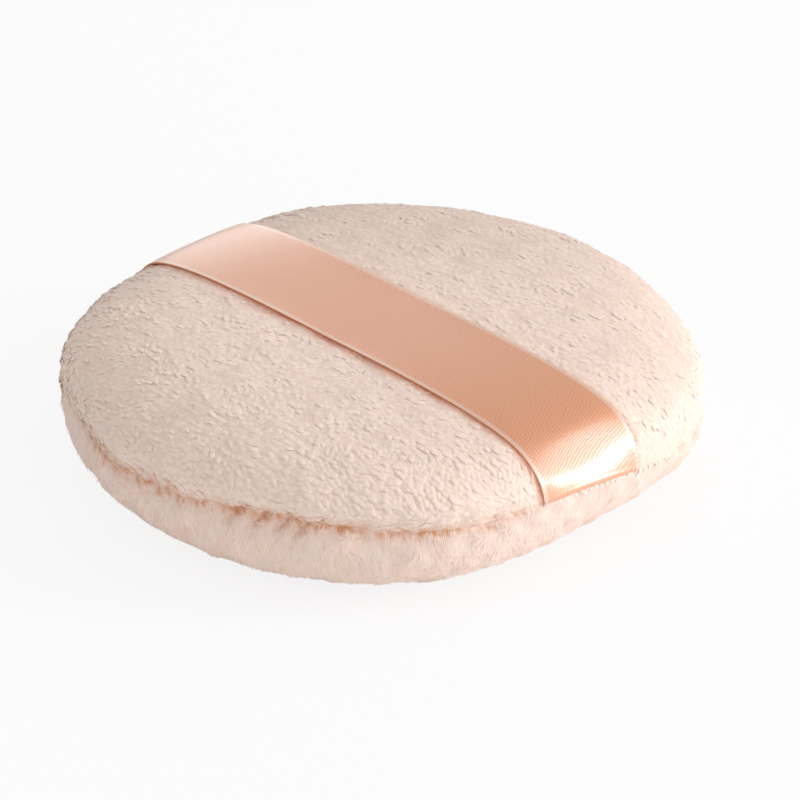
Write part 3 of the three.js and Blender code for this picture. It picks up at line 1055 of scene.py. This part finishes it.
def satinMaterial(width):
    material, tree, shader = newMaterial("peach satin", {
        "Roughness": 0.44, "IOR": 1.7, "Specular IOR Level": 1.0, "Coat Weight": 0.6, "Coat Roughness": 0.22,
        "Coat IOR": 1.6, "Anisotropic": 0.2, "Anisotropic Rotation": 0.25, "Sheen Weight": 0.15})
    uv = addNode(tree, "ShaderNodeUVMap", uv_map="cloth").outputs["UV"]
    split = addNode(tree, "ShaderNodeSeparateXYZ", {"Vector": uv})
    length, across = split.outputs["X"], split.outputs["Y"]
    perMetre = {pitch: 2 * math.pi / (ribbon[pitch] * mm) for pitch in ("warp", "weft", "slide", "loops")}
    warp = maths(tree, "MULTIPLY", across, perMetre["warp"])
    weft = maths(tree, "MULTIPLY", length, perMetre["weft"])
    slide = maths(tree, "MULTIPLY_ADD", across, perMetre["slide"], weft)
    yarn = noise(tree, uv, 1 / (ribbon["yarn"] * mm))
    rows = maths(tree, "SINE", maths(tree, "MULTIPLY_ADD", yarn, 5.0, warp))
    floats = maths(tree, "SINE", maths(tree, "MULTIPLY_ADD", yarn, 9.0, slide))
    weave = maths(tree, "MULTIPLY_ADD", rows, 0.5, floats)
    raised = maths(tree, "MULTIPLY_ADD", weave, 0.25, 0.6)
    ground = ramp(tree, raised, (0.0, ribbon["shade"]), (1.0, ribbon["colour"]))
    selvedge = addNode(tree, "ShaderNodeMapRange", {
        "Value": maths(tree, "SUBTRACT", width / 2 * mm, maths(tree, "ABSOLUTE", across)),
        "From Min": ribbon["selvedgeWidth"] * mm, "From Max": ribbon["selvedgeWidth"] * 0.6 * mm,
        "To Min": 0, "To Max": 1}, interpolation_type="SMOOTHSTEP").outputs["Result"]
    loops = maths(tree, "SINE", maths(tree, "MULTIPLY", length, perMetre["loops"]))
    edge = maths(tree, "MULTIPLY", selvedge, maths(tree, "MULTIPLY_ADD", loops, 0.35, 0.6))
    tangent = addNode(tree, "ShaderNodeTangent", direction_type="UV_MAP", uv_map="cloth").outputs["Tangent"]
    fillSockets(tree, shader, {
        "Base Color": mixColours(tree, edge, ground, (*ribbon["selvedge"], 1)),
        "Normal": bumped(tree, weave, 0.5, 0.016), "Tangent": tangent})
    return letThrough(material)


def letThrough(material):
    # the ribbon is thin, so the light that falls through it warms its own shadow
    tree = material.node_tree
    ray = addNode(tree, "ShaderNodeLightPath").outputs["Is Shadow Ray"]
    clear = addNode(tree, "ShaderNodeBsdfTransparent", {"Color": (*ribbon["through"], 1)}).outputs[0]
    setSurface(tree, mixShaders(tree, ray, tree.nodes["Principled BSDF"].outputs[0], clear))
    return material


# Foam core, hidden inside the covers

foam = {
    "gap": 0.3,             # from the covers
    "velourThick": 2.0,
    "plushThick": 2.6,
    "lean": 0.6,            # how far its wall leans in before the slot for the hems
    "steps": 160,
}


def makeFoam():
    upper = crownWall(foam["velourThick"] + foam["gap"])
    lower = plushWall(foam["plushThick"] + foam["gap"])
    upper = upper[(upper[:, 1] >= upperBulge - 1e-6)]
    lower = lower[(lower[:, 1] <= lowerBulge + 1e-6)]
    slotTop = upperHem + pad["hem"] + foam["gap"]
    slotBottom = lowerHem - pad["hem"] - foam["gap"]
    slotEdge = hemEdge - foam["gap"]
    slot = [[upper[-1][0] - foam["lean"], slotTop], [slotEdge, slotTop], [slotEdge, slotBottom],
            [lower[-1][0] - foam["lean"], slotBottom]]
    profile = np.concatenate([thinned(upper, 36), slot, thinned(lower, 36)[::-1]])
    thing = newObject("foam_pad", turnedMesh("foam_pad", profile, foam["steps"]))
    thing.data.materials.append(mottledMaterial("cushion foam", "ShaderNodeTexVoronoi", "Distance", 900, 0.95,
                                                (0.1, srgb(214, 196, 166)), (0.6, srgb(243, 234, 217))))
    return thing


# Stitches: the machine seam between the hems, and the hand stitches that close the gap

stitch = {
    "machineRadius": 37.0, "machinePitch": 3.4, "machineSway": 0.3,
    "machineRuns": ((11, 169), (197, 264), (308, 343)),   # degrees round from +X, between the ribbon's ends
    "closingRadius": 38.45, "closingPitch": 2.8, "closingSlant": 0.55,
    "closingRuns": ((265, 307),),
    "grow": {"Wobble": 0.03, "Spin": 0.05, "Smallest": 0.95, "Largest": 1.05, "Seed": 3},
}

stitchLoop = {
    "length": 3.3, "width": 0.4, "thickness": 0.4, "leanRoot": 62, "leanTip": 118,
    "sides": 6, "rings": 7, "ridge": 0.15, "rootShare": 0.7, "belly": 0.3,
}


def makeStitches(name, kind, slant, material):
    radius, pitch = stitch[kind + "Radius"], stitch[kind + "Pitch"]
    turns = np.concatenate([np.arange(math.radians(low), math.radians(high), pitch / radius)
                            for low, high in stitch[kind + "Runs"]])
    even = np.ones(len(turns))
    flat = np.stack([radius * np.cos(turns), radius * np.sin(turns), even * pad["seamHeight"]], -1)
    normal = np.stack([np.cos(turns), np.sin(turns), even * 0], -1)
    swing = np.where(np.arange(len(turns)) % 2 == 0, slant, -slant)
    nap = np.stack([-np.sin(turns), np.cos(turns), swing], -1)
    mapWidth = 2.4 * pad["rim"]
    size = even * pitch / stitchLoop["length"]
    roots = rootsObject(name + "Roots", drawIn(flat), normal, nap, size, even, even, even,
                        mapPlan(flat[:, :2], mapWidth))
    return growPiece(name, roots, tuftObject(name + "Loop", stitchLoop), 1.5 / mapWidth, material, stitch)


# Build the pieces

bandLow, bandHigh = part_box("ribbon_band")
ribbonWidth = (bandHigh.y - bandLow.y) / mm
ribbonMiddle = (bandHigh.y + bandLow.y) / 2 / mm

velourPile, velourCover = makeVelour(ribbonMiddle, ribbonWidth)
print("velour:", len(velourPile.data.polygons), "faces")
plushPile, plushCover = makePlush()
print("plush:", len(plushPile.data.polygons), "faces")
foamPad = makeFoam()
print("foam done")

satin = satinMaterial(ribbonWidth)
# the satin's back and narrow sides, deeper orange as painted shade under the edges
satinBackAndEdgeShade = letThrough(groundMaterial("satin back", ribbon["back"]))
ribbonHalves = []
for side, name in ((1, "ribbon_right"), (-1, "ribbon_left")):
    half, halfLength = makeRibbonHalf(name, side, ribbonMiddle, ribbonWidth)
    half.data.materials.append(satin)
    half.data.materials.append(satinBackAndEdgeShade)
    ribbonHalves.append(half)
print("ribbon: half length", round(halfLength, 1), "mm")

thread = mottledMaterial("tan thread", "ShaderNodeTexWave", "Fac", 900, 0.6,
                         (0.2, srgb(186, 124, 82)), (0.8, srgb(214, 160, 120)))
machineSlant = stitch["machineSway"] / stitch["machinePitch"]
machineStitches = makeStitches("machine_stitches", "machine", machineSlant, thread)
closingStitches = makeStitches("closing_stitches", "closing", stitch["closingSlant"], thread)
print("stitches:", len(machineStitches.data.polygons) + len(closingStitches.data.polygons), "faces")


# Floor, light and world

light = {
    # watts, metres, degrees from the camera and above the floor
    "key": {"power": 1.7, "size": 0.46, "turn": 90, "lift": 33, "away": 0.9},
    "fill": {"power": 1.2, "size": 0.7, "turn": 18, "lift": 14, "away": 1.0},
    "glint": {"power": 3.9, "size": 0.28, "turn": 87, "lift": 15, "away": 0.9},
    "back": {"power": 0.65, "size": 0.32, "turn": 185, "lift": 14, "away": 0.9},
}

stage = {
    "floorHalf": 3.0,       # metres
    "floorGlow": 0.85,      # share of plain white that the camera sees on the floor
    "sky": 0.65,
    "sweepFrom": 0.05,      # the satin mirrors a white sweep that fades to a dark sky between these heights
    "sweepTo": 0.42,
    "darkSky": 0.12,
    "aimHeight": 0.01,
}


def makeLamp(name, power, size, turn, lift, away):
    back = towards(camera["azimuth"] + turn, lift)
    data = bpy.data.lights.new(name, "AREA")
    data.energy, data.size = power, size
    lamp = newObject(name, data)
    lamp.location = back * away + Vector((0, 0, stage["aimHeight"]))
    lamp.rotation_euler = back.to_track_quat("Z", "Y").to_euler()


def makeFloor():
    floor = newObject("floor", bpy.data.meshes.new("floor"))
    half = stage["floorHalf"]
    corners = [(-half, -half, 0), (half, -half, 0), (half, half, 0), (-half, half, 0)]
    floor.data.from_pydata(corners, [], [(0, 1, 2, 3)])
    material, tree, shader = newMaterial("white floor", {
        "Base Color": (0.9, 0.9, 0.9, 1), "Roughness": 0.9, "Specular IOR Level": 0})
    seen = addNode(tree, "ShaderNodeLightPath").outputs["Is Camera Ray"]
    glow = addNode(tree, "ShaderNodeEmission").outputs[0]
    share = maths(tree, "MULTIPLY", seen, stage["floorGlow"])
    setSurface(tree, mixShaders(tree, share, shader.outputs[0], glow))
    floor.data.materials.append(material)


def makeWorld():
    world = bpy.data.worlds.new("studio")
    bpy.context.scene.world = world
    world.use_nodes = True
    tree = world.node_tree
    soft = fillSockets(tree, tree.nodes["Background"], {"Color": (1, 1, 1, 1), "Strength": stage["sky"]})
    white = addNode(tree, "ShaderNodeBackground", {"Color": (1, 1, 1, 1), "Strength": 1})
    coords = addNode(tree, "ShaderNodeTexCoord").outputs["Generated"]
    fade = addNode(tree, "ShaderNodeMapRange", {
        "Value": addNode(tree, "ShaderNodeSeparateXYZ", {0: coords}).outputs["Z"],
        "From Min": stage["sweepFrom"], "From Max": stage["sweepTo"],
        "To Min": 1.0, "To Max": stage["darkSky"]})
    sweep = addNode(tree, "ShaderNodeBackground", {"Strength": fade.outputs["Result"]})
    path = addNode(tree, "ShaderNodeLightPath")
    mirrored = mixShaders(tree, path.outputs["Is Glossy Ray"], soft.outputs[0], sweep.outputs[0])
    seen = mixShaders(tree, path.outputs["Is Camera Ray"], mirrored, white.outputs[0])
    setSurface(tree, seen, "World Output")


makeFloor()
makeWorld()
for name, lamp in light.items():
    makeLamp(name, **lamp)
bpy.context.scene.view_settings.view_transform = "Standard"
print("stage lit")


# Tie the pieces to the bodies

for piece, slot in (
    (velourPile, "velour"), (velourCover, "velour"), (plushPile, "plush"), (plushCover, "plush"),
    (foamPad, "foam"),
):
    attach(piece, "puff")
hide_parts("upper_cover")
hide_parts("lower_cover")
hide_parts("foam_core")

for piece, nodes in ((machineStitches, ("seam_thread_back", "seam_thread_left", "seam_thread_right")),
                     (closingStitches, ("closing_thread",))):
    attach(piece, "puff")
    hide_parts(*nodes)

for half, side, tail in (
    (ribbonHalves[0], 1, "ribbon_tail_right"),
    (ribbonHalves[1], -1, "ribbon_tail_left"),
):
    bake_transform(half)
    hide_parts(tail, "ribbon_band")
